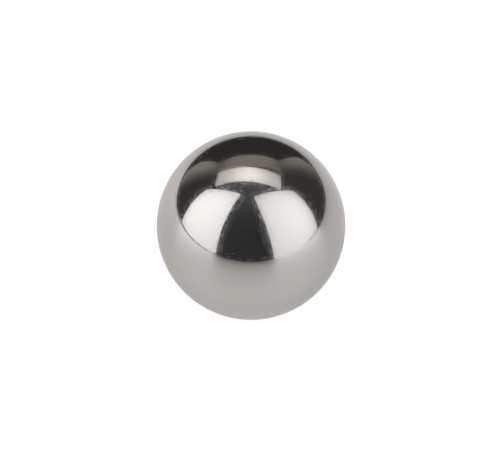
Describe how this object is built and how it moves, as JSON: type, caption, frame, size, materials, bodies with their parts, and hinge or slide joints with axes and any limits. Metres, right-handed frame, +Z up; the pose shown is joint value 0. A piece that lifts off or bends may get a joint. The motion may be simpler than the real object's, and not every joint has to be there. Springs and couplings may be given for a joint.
{
  "type": "steel ball",
  "caption": "Plain solid steel ball with a mirror-polished surface. It rolls on any surface and seats in a cup, socket, race, ring or on a magnet.",
  "frame": {"origin": "centre of the ball", "axes": "+Z up; any line through the centre is an axis of symmetry, so X and Y are free choices"},
  "size_m": [0.025, 0.025, 0.025],
  "materials": {
    "polished_steel": "bare through-hardened chromium bearing steel, ground and lapped to a mirror, with a few hairline handling marks; not plated"
  },
  "bodies": {
    "root": {"ball": "polished_steel"}
  },
  "joints": []
}
